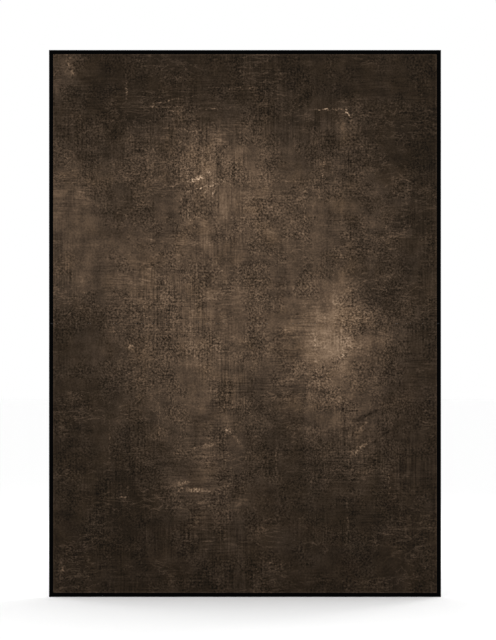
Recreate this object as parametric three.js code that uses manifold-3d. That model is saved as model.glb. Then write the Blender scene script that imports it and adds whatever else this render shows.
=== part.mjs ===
// A folding backdrop panel: a printed cloth with a webbing border, pressed onto the front of a
// square-tube frame. The frame folds twice. Its top and bottom rails break at the middle, so the
// two uprights (the stiles) come side by side, and the stiles break at mid-height on hinges at
// their front, so the lower half closes against the upper half with the cloth inside.
//
// Millimetres, +Z up, front towards -Y. Each quarter of the frame is drawn once, for +X and
// above mid-height, and mirrored: x runs outwards from the panel's middle, y backwards from the
// front face of the tubes, and z from mid-height towards the panel's end.
import * as THREE from "three";
import { mergeVertices } from "three/addons/utils/BufferGeometryUtils.js";
import Module from "manifold-3d";

const wasm = await Module();
wasm.setup();

// The panel's outline and its edge.
const PANEL_WIDTH = 1505;
const PANEL_HEIGHT = 2100;
const BORDER_WIDTH = 16.5; // webbing round the cloth
const OVERHANG = 6.5; // the cloth's edge stands out past the tubes by this much
const SIDE = PANEL_WIDTH / 2;
const END = PANEL_HEIGHT / 2;

// The tubes.
const TUBE = 20;
const WALL = 1.6;
const TUBE_CORNER = 1.8; // outer corner radius
const DEPTH_MIDDLE = TUBE / 2; // y of every tube's centre line
const STILE_OUT = SIDE - OVERHANG;
const STILE_IN = STILE_OUT - TUBE;
const RAIL_OUT = END - OVERHANG;
const RAIL_IN = RAIL_OUT - TUBE;

// Fits and plugs.
const GAP = 0.3; // between pieces that touch or turn in each other
const PLUG = TUBE - 2 * WALL - 2 * GAP; // side of a plug pushed into a tube
const PLUG_CORNER = 0.6;
const FLANGE = 3;

// Pivots along y, at the corners and at the middle of each rail.
const EAR_RADIUS = 5.5;
const PIVOT_RADIUS = 2.5;
const PIVOT_HOLE = PIVOT_RADIUS + GAP;
const TANG_FRONT = 6.5; // the middle leaf of every pivot lies between these two depths
const TANG_BACK = 13.5;
const CORNER_OFFSET = 7.5; // from the corner pivot to the rail's and the stile's inner face
const CORNER_X = STILE_IN - CORNER_OFFSET;
const CORNER_Z = RAIL_IN - CORNER_OFFSET;
const MIDDLE_Z = RAIL_OUT + 0.5; // the middle pivot is just outside the rail

// Corner forks on the stiles, and the tangs on the rail ends.
const FORK_FRONT = 1.8;
const FORK_BACK = TUBE - FORK_FRONT;
const FORK_LENGTH = 46.5;
const PLATE = 1.2;
const RIVET_HEAD = 4.2;
const SADDLE_LIFT = 6.3; // from the pivot to the saddle plate under the rail
const SADDLE_LENGTH = 34;
const END_PLATE = 2;
const RAIL_PLUG_LENGTH = 30;

// Knuckles at the middle of the rails.
const KNUCKLE_START = 0.2; // half the gap between the two blocks
const KNUCKLE_END = 17.7;
const KNUCKLE_PLUG_LENGTH = 35;
const KNUCKLE_CLEARANCE = EAR_RADIUS + 0.4;
const BOLT_HEAD_RADIUS = 4;
const BOLT_HEAD = 2;
const BOLT_END = 25.5;

// Clamp levers behind the knuckles.
const LEVER_HUB_RADIUS = 5.6;
const LEVER_FRONT = TUBE + GAP;
const LEVER_BACK = 30;
const LEVER_REACH = 50;
const LEVER_DROP = 9;
const LEVER_TIP_RADIUS = 4.4;

// Fold at mid-height: hinges in front, a peg and a magnet inside.
const HALF_GAP = 0.2; // from mid-height to each joint cap
const JOINT_CAP_END = HALF_GAP + FLANGE;
const STILE_START = JOINT_CAP_END + GAP;
const JOINT_PLUG_LENGTH = 25;
const HINGE_Y = -3.1;
const BARREL_RADIUS = 2.4;
const HINGE_PIN_RADIUS = 1.1;
const HINGE_BORE = 1.3;
const KNUCKLES_FROM = 736.8; // the barrel lies behind the border's edge
const KNUCKLE_LENGTH = 2.8;
const LEAF_FRONT = -1.1;
const LEAF_BACK = -0.3;
const LEAF_FROM = 3.6;
const LEAF_TO = 30;
const PEG_Y = 12.8;
const PEG_ROOT = 4;
const PEG_TIP = 2.5;
const PEG_LENGTH = 5.5;
const SOCKET_DEPTH = 6;
const MAGNET_Y = 4.6;
const MAGNET_RADIUS = 2.6;
const MAGNET_THICKNESS = 1.9;

// Cloth and its border, in front of the tubes.
const CLOTH_FRONT = -1.8;
const CLOTH_BACK = -1.3;
const BORDER_FRONT = -2.8;
const BORDER_BACK = -2.0;
const CLOTH_START = 3.2; // leaves room for the hinge barrels

const ROUND_STEPS = 16; // sides of a small round piece
const CORNER_STEPS = 2; // steps round a tube's corner

const materials = {
  tube: new THREE.MeshStandardMaterial({ color: 0x18181a, roughness: 0.5, metalness: 0.8 }),
  fitting: new THREE.MeshStandardMaterial({ color: 0x0e0e0f, roughness: 0.6, metalness: 0 }),
  steel: new THREE.MeshStandardMaterial({ color: 0x8d8f92, roughness: 0.35, metalness: 1 }),
  hinge: new THREE.MeshStandardMaterial({ color: 0x151516, roughness: 0.45, metalness: 0.9 }),
  magnet: new THREE.MeshStandardMaterial({ color: 0xb4b5b8, roughness: 0.25, metalness: 1 }),
  cloth: new THREE.MeshStandardMaterial({ color: 0x2e2620, roughness: 0.95, metalness: 0 }),
  webbing: new THREE.MeshStandardMaterial({ color: 0x060606, roughness: 0.9, metalness: 0 }),
};

// ---- Solids -------------------------------------------------------------------------------

// A three.js geometry as a solid that can be joined and cut.
function solidOf(geometry) {
  const bare = geometry.clone();
  bare.deleteAttribute("normal");
  bare.deleteAttribute("uv");
  const merged = mergeVertices(bare, 1e-4);
  const mesh = new wasm.Mesh({
    numProp: 3,
    vertProperties: merged.attributes.position.array,
    triVerts: new Uint32Array(merged.index.array),
  });
  return new wasm.Manifold(mesh);
}

function geometryOf(solid) {
  const mesh = solid.getMesh();
  const geometry = new THREE.BufferGeometry();
  geometry.setAttribute("position", new THREE.BufferAttribute(mesh.vertProperties, mesh.numProp));
  geometry.setIndex(new THREE.BufferAttribute(mesh.triVerts, 1));
  return geometry;
}

const joined = (...pieces) => pieces.reduce((whole, piece) => whole.add(piece));

const cutBy = (body, ...tools) => tools.reduce((left, tool) => left.subtract(tool), body);

// A block between two values on each axis, each given as [low, high].
function block([x0, x1], [y0, y1], [z0, z1]) {
  const box = new THREE.BoxGeometry(x1 - x0, y1 - y0, z1 - z0);
  return solidOf(box.translate((x0 + x1) / 2, (y0 + y1) / 2, (z0 + z1) / 2));
}

function roundAlongY(x, z, radius, [y0, y1]) {
  const rod = new THREE.CylinderGeometry(radius, radius, y1 - y0, ROUND_STEPS);
  return solidOf(rod.translate(x, (y0 + y1) / 2, z));
}

function roundAlongX(y, z, radius, [x0, x1]) {
  const rod = new THREE.CylinderGeometry(radius, radius, x1 - x0, ROUND_STEPS);
  return solidOf(rod.rotateZ(Math.PI / 2).translate((x0 + x1) / 2, y, z));
}

// A round piece along z, which may taper from one radius at z0 to another at z1.
function roundAlongZ(x, y, [radius0, radius1], [z0, z1]) {
  const rod = new THREE.CylinderGeometry(radius1, radius0, z1 - z0, ROUND_STEPS);
  return solidOf(rod.rotateX(Math.PI / 2).translate(x, y, (z0 + z1) / 2));
}

// A flat plate of an outline drawn in x and z, between two depths.
function plate(shape, [y0, y1]) {
  const options = { depth: y1 - y0, bevelEnabled: false, curveSegments: ROUND_STEPS / 2 };
  const extruded = new THREE.ExtrudeGeometry(shape, options);
  return solidOf(extruded.rotateX(Math.PI / 2).translate(0, y1, 0));
}

// Four arcs and four straight sides, centred on the origin.
function traceSquare(path, side, radius) {
  const flat = side / 2 - radius;
  path.absarc(flat, flat, radius, 0, Math.PI / 2);
  path.absarc(-flat, flat, radius, Math.PI / 2, Math.PI);
  path.absarc(-flat, -flat, radius, Math.PI, Math.PI * 1.5);
  path.absarc(flat, -flat, radius, Math.PI * 1.5, Math.PI * 2);
  path.closePath();
  return path;
}

// A square bar with rounded corners, or a tube if it has a wall, of a given length from z = 0.
function squareBar(side, radius, length, wall = 0) {
  const section = traceSquare(new THREE.Shape(), side, radius);
  if (wall) section.holes.push(traceSquare(new THREE.Path(), side - 2 * wall, PLUG_CORNER));
  const options = { depth: length, bevelEnabled: false, curveSegments: CORNER_STEPS };
  return new THREE.ExtrudeGeometry(section, options);
}

function stileBar(side, radius, [z0, z1], wall) {
  const bar = squareBar(side, radius, z1 - z0, wall);
  return solidOf(bar.translate(STILE_IN + TUBE / 2, DEPTH_MIDDLE, z0));
}

function railBar(side, radius, [x0, x1], wall) {
  const bar = squareBar(side, radius, x1 - x0, wall).rotateY(Math.PI / 2);
  return solidOf(bar.translate(x0, DEPTH_MIDDLE, RAIL_IN + TUBE / 2));
}

// The outline round a circle and an edge beside it, from point a to point b, anticlockwise.
function gusset(centre, radius, a, b) {
  const touch = (point, turn) => {
    const away = Math.acos(radius / point.distanceTo(centre));
    return Math.atan2(point.y - centre.y, point.x - centre.x) + turn * away;
  };
  const shape = new THREE.Shape();
  shape.moveTo(a.x, a.y);
  shape.lineTo(b.x, b.y);
  shape.absarc(centre.x, centre.y, radius, touch(b, 1), touch(a, -1), false);
  shape.closePath();
  return shape;
}

// The outline round two circles, as of a strap or a lever.
function strap(centre0, radius0, centre1, radius1) {
  const way = Math.atan2(centre1.y - centre0.y, centre1.x - centre0.x);
  const away = Math.acos((radius0 - radius1) / centre0.distanceTo(centre1));
  const shape = new THREE.Shape();
  shape.absarc(centre0.x, centre0.y, radius0, way + away, way - away + 2 * Math.PI, false);
  shape.absarc(centre1.x, centre1.y, radius1, way - away, way + away, false);
  shape.closePath();
  return shape;
}

const point = (x, z) => new THREE.Vector2(x, z);

// ---- Pieces of one quarter ----------------------------------------------------------------

const stileTube = () => stileBar(TUBE, TUBE_CORNER, [STILE_START, RAIL_OUT - FLANGE - GAP], WALL);

// Closes the stile at the panel's end.
function stileEndCap() {
  const flange = stileBar(TUBE, TUBE_CORNER, [RAIL_OUT - FLANGE, RAIL_OUT]);
  const plug = stileBar(PLUG, PLUG_CORNER, [RAIL_OUT - FLANGE - JOINT_PLUG_LENGTH, RAIL_OUT - 1]);
  return joined(flange, plug);
}

// The blank of the caps that meet at mid-height, with its pocket for a magnet or a striker.
function jointCapBlank() {
  const middle = STILE_IN + TUBE / 2;
  const flange = stileBar(TUBE, TUBE_CORNER, [HALF_GAP, JOINT_CAP_END]);
  const plug = stileBar(PLUG, PLUG_CORNER, [1, JOINT_CAP_END + JOINT_PLUG_LENGTH]);
  const pocket = MAGNET_RADIUS + GAP;
  const pocketEnd = HALF_GAP + MAGNET_THICKNESS + 2 * GAP;
  return cutBy(joined(flange, plug), roundAlongZ(middle, MAGNET_Y, [pocket, pocket], [0, pocketEnd]));
}

// The upper cap carries the peg, whose taper lets it swing out of the socket.
function pegCap() {
  const middle = STILE_IN + TUBE / 2;
  const tip = HALF_GAP - PEG_LENGTH;
  return joined(jointCapBlank(), roundAlongZ(middle, PEG_Y, [PEG_TIP, PEG_ROOT], [tip, HALF_GAP + 0.01]));
}

function socketCap() {
  const middle = STILE_IN + TUBE / 2;
  const radii = [PEG_ROOT + GAP, PEG_TIP + GAP];
  return cutBy(jointCapBlank(), roundAlongZ(middle, PEG_Y, radii, [0.1, HALF_GAP + SOCKET_DEPTH]));
}

// The magnet in the upper cap and the striker it holds in the lower one are alike.
function magnetDisc() {
  const from = HALF_GAP + GAP;
  return roundAlongZ(STILE_IN + TUBE / 2, MAGNET_Y, [MAGNET_RADIUS, MAGNET_RADIUS],
    [from, from + MAGNET_THICKNESS]);
}

// A leaf on the stile's front face. Its knuckles are a set of places along the barrel.
function hingeLeaf(places) {
  let leaf = block([STILE_IN + 1, STILE_OUT - 0.5], [LEAF_FRONT, LEAF_BACK], [LEAF_FROM, LEAF_TO]);
  for (const place of places) {
    const from = KNUCKLES_FROM + place * (KNUCKLE_LENGTH + GAP);
    const span = [from, from + KNUCKLE_LENGTH];
    const strip = block(span, [LEAF_FRONT, LEAF_BACK], [0, LEAF_FROM + 1]);
    leaf = joined(leaf, strip, roundAlongX(HINGE_Y, 0, BARREL_RADIUS, span));
  }
  return cutBy(leaf, roundAlongX(HINGE_Y, 0, HINGE_BORE, [STILE_IN, STILE_OUT + 5]));
}

// The hinge pin has a peened head at its outer end.
function hingePin() {
  const end = KNUCKLES_FROM + 3 * KNUCKLE_LENGTH + 2 * GAP;
  const shank = roundAlongX(HINGE_Y, 0, HINGE_PIN_RADIUS, [KNUCKLES_FROM - GAP, end + GAP]);
  return joined(shank, roundAlongX(HINGE_Y, 0, 1.9, [end + GAP / 2, end + 0.7]));
}

// Two arms on the stile's inner face that hold the rail's tang.
function cornerFork() {
  const plateX = CORNER_X + CORNER_OFFSET - GAP - PLATE;
  const top = CORNER_Z + EAR_RADIUS;
  const base = block([plateX, plateX + PLATE], [FORK_FRONT, FORK_BACK], [top - FORK_LENGTH, top]);
  const outline = gusset(point(CORNER_X, CORNER_Z), EAR_RADIUS,
    point(plateX + 0.5, top - FORK_LENGTH), point(plateX + 0.5, top));
  const frontArm = plate(outline, [FORK_FRONT, TANG_FRONT - GAP]);
  const backArm = plate(outline, [TANG_BACK + GAP, FORK_BACK]);
  const hole = roundAlongY(CORNER_X, CORNER_Z, PIVOT_HOLE, [0, TUBE]);
  return cutBy(joined(base, frontArm, backArm), hole);
}

// The fitting in the rail's outer end: a plug, an end plate, a saddle plate and the tang.
function railEnd() {
  const end = STILE_IN - 0.5;
  const saddleBottom = CORNER_Z + SADDLE_LIFT;
  const endPlate = railBar(TUBE, TUBE_CORNER, [end - END_PLATE, end]);
  const skirt = block([end - END_PLATE, end], [TUBE_CORNER, TUBE - TUBE_CORNER], [saddleBottom, RAIL_IN + 2]);
  const plug = railBar(PLUG, PLUG_CORNER, [end - END_PLATE - RAIL_PLUG_LENGTH, end - 1]);
  const saddle = block([end - SADDLE_LENGTH, end], [TUBE_CORNER, TUBE - TUBE_CORNER],
    [saddleBottom, RAIL_IN - GAP]);
  const outline = gusset(point(CORNER_X, CORNER_Z), EAR_RADIUS,
    point(CORNER_X + EAR_RADIUS, saddleBottom + 0.4), point(CORNER_X - 18.5, saddleBottom + 0.4));
  const tang = plate(outline, [TANG_FRONT, TANG_BACK]);
  const hole = roundAlongY(CORNER_X, CORNER_Z, PIVOT_HOLE, [0, TUBE]);
  return cutBy(joined(endPlate, skirt, plug, saddle, tang), hole);
}

// A rivet through fork and tang, headed at both ends.
function cornerPin() {
  const shank = roundAlongY(CORNER_X, CORNER_Z, PIVOT_RADIUS, [0.4, TUBE - 0.1]);
  const frontHead = roundAlongY(CORNER_X, CORNER_Z, RIVET_HEAD, [0.4, FORK_FRONT - GAP]);
  const backHead = roundAlongY(CORNER_X, CORNER_Z, RIVET_HEAD, [FORK_BACK + GAP, TUBE - 0.1]);
  return joined(shank, frontHead, backHead);
}

const railTube = () =>
  railBar(TUBE, TUBE_CORNER, [KNUCKLE_END + GAP, STILE_IN - 0.5 - END_PLATE - GAP], WALL);

const knuckleBlank = () =>
  joined(
    railBar(TUBE, TUBE_CORNER, [KNUCKLE_START, KNUCKLE_END]),
    railBar(PLUG, PLUG_CORNER, [KNUCKLE_END - 1, KNUCKLE_END + KNUCKLE_PLUG_LENGTH]),
  );

// The left knuckle: two ears, with the front one sunk for the bolt's head.
function knuckleFork() {
  const ears = [
    [0, TANG_FRONT - GAP],
    [TANG_BACK + GAP, TUBE],
  ];
  const slot = roundAlongY(0, MIDDLE_Z, KNUCKLE_CLEARANCE, [ears[0][1], ears[1][0]]);
  const solid = cutBy(knuckleBlank(), slot);
  const whole = joined(solid, ...ears.map((depths) => roundAlongY(0, MIDDLE_Z, EAR_RADIUS, depths)));
  const hole = roundAlongY(0, MIDDLE_Z, PIVOT_HOLE, [-1, TUBE + 1]);
  const sink = roundAlongY(0, MIDDLE_Z, BOLT_HEAD_RADIUS + GAP, [-1, BOLT_HEAD + 3 * GAP]);
  return cutBy(whole, hole, sink);
}

// The right knuckle: one tang between the ears.
function knuckleTang() {
  const front = roundAlongY(0, MIDDLE_Z, KNUCKLE_CLEARANCE, [-1, TANG_FRONT]);
  const back = roundAlongY(0, MIDDLE_Z, KNUCKLE_CLEARANCE, [TANG_BACK, TUBE + 1]);
  const ear = roundAlongY(0, MIDDLE_Z, EAR_RADIUS, [TANG_FRONT, TANG_BACK]);
  const hole = roundAlongY(0, MIDDLE_Z, PIVOT_HOLE, [0, TUBE]);
  return cutBy(joined(cutBy(knuckleBlank(), front, back), ear), hole);
}

function pivotBolt() {
  const headEnd = BOLT_HEAD + GAP;
  const head = roundAlongY(0, MIDDLE_Z, BOLT_HEAD_RADIUS, [GAP, headEnd]);
  return joined(head, roundAlongY(0, MIDDLE_Z, PIVOT_RADIUS, [GAP, BOLT_END]));
}

// A hub over the bolt's end and a flat arm along the rail's back.
function clampLever() {
  const hubCentre = point(0, MIDDLE_Z);
  const tipCentre = point(LEVER_REACH, MIDDLE_Z - LEVER_DROP);
  const hub = roundAlongY(0, MIDDLE_Z, LEVER_HUB_RADIUS, [LEVER_FRONT, LEVER_BACK]);
  const arm = plate(strap(hubCentre, LEVER_HUB_RADIUS - 0.4, tipCentre, LEVER_TIP_RADIUS),
    [LEVER_FRONT + 2.2, LEVER_BACK - 2.5]);
  const grip = plate(strap(point(LEVER_REACH - 18, MIDDLE_Z - LEVER_DROP * 0.64), 3.2, tipCentre, 3.4),
    [LEVER_BACK - 3, LEVER_BACK - 1.2]);
  const bore = roundAlongY(0, MIDDLE_Z, PIVOT_HOLE, [LEVER_FRONT - 1, BOLT_END + GAP]);
  return cutBy(joined(hub, arm, grip), bore);
}

const sideBorder = () =>
  block([SIDE - BORDER_WIDTH, SIDE], [BORDER_FRONT, BORDER_BACK], [CLOTH_START, END - BORDER_WIDTH - GAP]);

// ---- Pieces as wide as the panel ----------------------------------------------------------

const clothHalf = () => block([-SIDE, SIDE], [CLOTH_FRONT, CLOTH_BACK], [CLOTH_START, END]);

const endBorder = () =>
  block([-SIDE, SIDE], [BORDER_FRONT, BORDER_BACK], [END - BORDER_WIDTH, END]);

// ---- Assembly -----------------------------------------------------------------------------

function piece(name, solid, material) {
  const mesh = new THREE.Mesh(geometryOf(solid), materials[material]);
  mesh.name = name;
  return mesh;
}

// half is upper or lower, and end names the rail in that half.
function quarter(half, end, side) {
  const group = new THREE.Group();
  const stile = `${half}_${side}_stile`;
  const rail = `${end}_${side}_rail`;
  const upper = half === "upper";
  const left = side === "left";
  group.add(
    piece(`${stile}_tube`, stileTube(), "tube"),
    piece(`${stile}_end_cap`, stileEndCap(), "fitting"),
    piece(upper ? `${stile}_peg_cap` : `${stile}_socket_cap`, upper ? pegCap() : socketCap(), "fitting"),
    piece(upper ? `${side}_joint_magnet` : `${side}_joint_striker`, magnetDisc(),
      upper ? "magnet" : "steel"),
    piece(`${half}_${side}_hinge_leaf`, hingeLeaf(upper ? [0, 2] : [1]), "hinge"),
    piece(`${stile}_corner_fork`, cornerFork(), "fitting"),
    piece(`${end}_${side}_corner_pin`, cornerPin(), "steel"),
    piece(`${rail}_tube`, railTube(), "tube"),
    piece(`${rail}_end_tang`, railEnd(), "fitting"),
    piece(`${rail}_knuckle`, left ? knuckleFork() : knuckleTang(), "fitting"),
    piece(`${half}_${side}_side_border`, sideBorder(), "webbing"),
  );
  if (upper) group.add(piece(`${side}_hinge_pin`, hingePin(), "steel"));
  if (left) {
    group.add(piece(`${end}_knuckle_bolt`, pivotBolt(), "steel"));
    group.add(piece(`${end}_clamp_lever`, clampLever(), "fitting"));
  }
  group.scale.set(left ? -1 : 1, 1, upper ? 1 : -1);
  return group;
}

// The cloth and the border strip of one half.
function skin(half, end) {
  const group = new THREE.Group();
  group.add(piece(`cloth_${half}`, clothHalf(), "cloth"));
  group.add(piece(`${end}_border`, endBorder(), "webbing"));
  group.scale.z = half === "upper" ? 1 : -1;
  return group;
}

const panel = new THREE.Group();
for (const [half, end] of [["upper", "top"], ["lower", "bottom"]]) {
  panel.add(skin(half, end));
  for (const side of ["left", "right"]) panel.add(quarter(half, end, side));
}

// The part's origin is on the floor, under the middle of the panel's whole depth.
const hingeFront = HINGE_Y - BARREL_RADIUS;
panel.position.set(0, -(hingeFront + LEVER_BACK) / 2, END);

const group = new THREE.Group();
group.add(panel);

export default group;
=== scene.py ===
"""Looks of a folding backdrop panel: a printed cloth with a webbing binding, on a frame of square tube.

Metres, +Z up, the printed front towards -Y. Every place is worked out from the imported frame.
"""

import math

import bmesh
import bpy
import numpy as np
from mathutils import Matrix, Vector


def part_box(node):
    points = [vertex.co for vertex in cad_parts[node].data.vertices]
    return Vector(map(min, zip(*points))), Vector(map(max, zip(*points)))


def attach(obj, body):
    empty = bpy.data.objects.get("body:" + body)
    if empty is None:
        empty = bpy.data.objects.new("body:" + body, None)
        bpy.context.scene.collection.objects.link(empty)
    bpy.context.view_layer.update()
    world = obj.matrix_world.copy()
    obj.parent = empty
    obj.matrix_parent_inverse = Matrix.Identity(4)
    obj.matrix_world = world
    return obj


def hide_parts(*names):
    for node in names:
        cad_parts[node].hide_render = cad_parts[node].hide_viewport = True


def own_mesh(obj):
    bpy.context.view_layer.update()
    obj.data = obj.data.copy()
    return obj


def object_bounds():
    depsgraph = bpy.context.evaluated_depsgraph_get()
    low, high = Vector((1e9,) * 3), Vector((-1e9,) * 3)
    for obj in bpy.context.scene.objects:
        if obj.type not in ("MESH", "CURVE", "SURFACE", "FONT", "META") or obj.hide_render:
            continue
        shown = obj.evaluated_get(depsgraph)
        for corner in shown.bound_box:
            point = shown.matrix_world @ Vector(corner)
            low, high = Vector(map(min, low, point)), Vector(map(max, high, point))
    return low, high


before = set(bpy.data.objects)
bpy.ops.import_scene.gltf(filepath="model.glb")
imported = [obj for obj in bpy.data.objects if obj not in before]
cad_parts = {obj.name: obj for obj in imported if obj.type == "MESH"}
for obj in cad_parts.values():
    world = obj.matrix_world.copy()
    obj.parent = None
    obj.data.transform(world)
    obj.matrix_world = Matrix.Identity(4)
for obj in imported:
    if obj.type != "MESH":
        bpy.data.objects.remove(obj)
CAD_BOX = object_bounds()
MM = 0.001

# ---- Places, from the frame ----

LOW, HIGH = CAD_BOX
MIDDLE_X = (LOW.x + HIGH.x) / 2
PANEL_WIDTH = HIGH.x - LOW.x
PANEL_HEIGHT = HIGH.z - LOW.z
FOLD_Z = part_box("left_hinge_pin")[0].z / 2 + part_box("left_hinge_pin")[1].z / 2
CLOTH_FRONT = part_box("cloth_upper")[0].y
CLOTH_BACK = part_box("cloth_upper")[1].y
BORDER_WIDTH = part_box("top_border")[1].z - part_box("top_border")[0].z
TUBE_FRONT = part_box("upper_right_stile_tube")[0].y
STILE_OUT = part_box("upper_right_stile_tube")[1].x
STILE_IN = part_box("upper_right_stile_tube")[0].x
SIDES = {"left": -1, "right": 1}
HALVES = {"upper": 1, "lower": -1}
ENDS = {"upper": "top", "lower": "bottom"}


# ---- Helpers for meshes ----


def new_object(name, data):
    """A new object with that data, linked into the scene."""
    thing = bpy.data.objects.new(name, data)
    bpy.context.scene.collection.objects.link(thing)
    return thing


def add_piece(name, mesh, *materials):
    """A new object with that mesh and those materials."""
    for material in materials:
        mesh.materials.append(material)
    return new_object(name, mesh)


def built_mesh(name, build):
    """A mesh of what was built, which is then freed."""
    mesh = bpy.data.meshes.new(name)
    build.to_mesh(mesh)
    build.free()
    return mesh


def drop_loose_points(build):
    """Removes the points that no face uses."""
    loose = [v for v in build.verts if not v.link_faces]
    bmesh.ops.delete(build, geom=loose, context="VERTS")


def join_rings(build, rings):
    """Smooth faces between each ring of points and the next."""
    for a, b in zip(rings, rings[1:]):
        for k in range(len(a)):
            after = (k + 1) % len(a)
            build.faces.new([a[k], a[after], b[after], b[k]]).smooth = True


# ---- Shader nodes ----


class Nodes:
    """A node tree, with one short call for each new node. Values are numbers, tuples or sockets."""

    def __init__(self, tree):
        self.tree = tree

    def feed(self, socket, value):
        if isinstance(value, bpy.types.NodeSocket):
            self.tree.links.new(value, socket)
        else:
            socket.default_value = value

    def add(self, kind, inputs=None, **settings):
        node = self.tree.nodes.new(kind)
        for name, value in settings.items():
            setattr(node, name, value)
        for name, value in (inputs or {}).items():
            self.feed(node.inputs[name], value)
        return node

    def flat_places(self):
        """Metres on the cloth or the webbing, laid flat."""
        return self.add("ShaderNodeUVMap", uv_map="flat").outputs["UV"]

    def solid_places(self):
        """Metres in the piece's own frame."""
        return self.add("ShaderNodeTexCoord").outputs["Object"]

    def math(self, operation, *values, clamp=False):
        node = self.add("ShaderNodeMath", operation=operation, use_clamp=clamp)
        for socket, value in zip(node.inputs, values):
            self.feed(socket, value)
        return node.outputs[0]

    def total(self, values):
        """The sum of several sockets."""
        whole = values[0]
        for value in values[1:]:
            whole = self.math("ADD", whole, value)
        return whole

    def vector(self, operation, *values):
        node = self.add("ShaderNodeVectorMath", operation=operation)
        for socket, value in zip(node.inputs, values):
            self.feed(socket, value)
        return node.outputs["Value" if operation in ("LENGTH", "DOT_PRODUCT") else "Vector"]

    def between(self, value, low, high, to_low=0.0, to_high=1.0, smooth=True):
        """value from low to high, mapped to to_low to to_high and held outside."""
        kind = "SMOOTHSTEP" if smooth else "LINEAR"
        inputs = {"Value": value, "From Min": low, "From Max": high, "To Min": to_low, "To Max": to_high}
        return self.add("ShaderNodeMapRange", inputs, interpolation_type=kind).outputs["Result"]

    def noise(self, where, scale, detail=2.0, roughness=0.5, distortion=0.0, flat=True):
        inputs = {"Vector": where, "Scale": scale, "Detail": detail, "Roughness": roughness}
        inputs["Distortion"] = distortion
        node = self.add("ShaderNodeTexNoise", inputs, noise_dimensions="2D" if flat else "3D")
        return node.outputs["Fac"]

    def stretched(self, where, across, up, shift=0.0):
        """The coordinates scaled apart, so that a noise at scale 1 has that many cells a metre."""
        scaled = self.vector("MULTIPLY", where, (across, up, 1.0))
        return self.vector("ADD", scaled, (shift, shift * 0.37, 0.0))

    def scaled(self, vector, amount):
        node = self.add("ShaderNodeVectorMath", {"Vector": vector, "Scale": amount}, operation="SCALE")
        return node.outputs["Vector"]

    def drift(self, where, scale, detail, roughness, reach):
        """The coordinates pushed about by a noise, and laid flat."""
        inputs = {"Vector": where, "Scale": scale, "Detail": detail, "Roughness": roughness}
        noise = self.add("ShaderNodeTexNoise", inputs, noise_dimensions="2D").outputs["Color"]
        push = self.scaled(self.vector("SUBTRACT", noise, (0.5, 0.5, 0.5)), reach)
        return self.vector("MULTIPLY", self.vector("ADD", where, push), (1.0, 1.0, 0.0))

    def hairlines(self, where, width, distortion):
        """1 along thin wandering lines, one cell or so apart, and 0 between them."""
        field = self.noise(where, 1.0, 3.0, 0.55, distortion)
        off = self.math("ABSOLUTE", self.math("SUBTRACT", field, 0.5))
        return self.between(off, 0.0, width, 1.0, 0.0)

    def swing(self, value, amount):
        """A noise, centred on zero and scaled."""
        return self.math("MULTIPLY", self.math("SUBTRACT", value, 0.5), amount)

    def mix(self, factor, a, b):
        node = self.add("ShaderNodeMix", data_type="RGBA")
        self.feed(node.inputs["Factor"], factor)
        self.feed(node.inputs[6], a)
        self.feed(node.inputs[7], b)
        return node.outputs[2]

    def bump(self, height, distance, strength=1.0, normal=None):
        inputs = {"Height": height, "Distance": distance, "Strength": strength}
        if normal is not None:
            inputs["Normal"] = normal
        return self.add("ShaderNodeBump", inputs).outputs["Normal"]


def new_material(name):
    """A material with its principled shader, as (material, nodes, shader)."""
    material = bpy.data.materials.new(name)
    material.use_nodes = True
    shader = material.node_tree.nodes["Principled BSDF"]
    return material, Nodes(material.node_tree), shader


# ---- The print ----

# Tones are in steps of an eight-bit display, the mean of the three channels.
GROUND_TONE = 33.5
DARKEST_TONE = 16.0
SCRATCH_STEPS = 24.0
EDGE_STEPS = 14.0  # how much lighter the print is right beside the binding
WHITE_TONE = 255.0
PRINT_GAIN = 0.94  # the light's gain on the print
WEAVE_THREADS = 900.0  # a metre
BAND_PERIOD = math.tau / 20.0  # of a wave texture's bands, at scale 1

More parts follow.
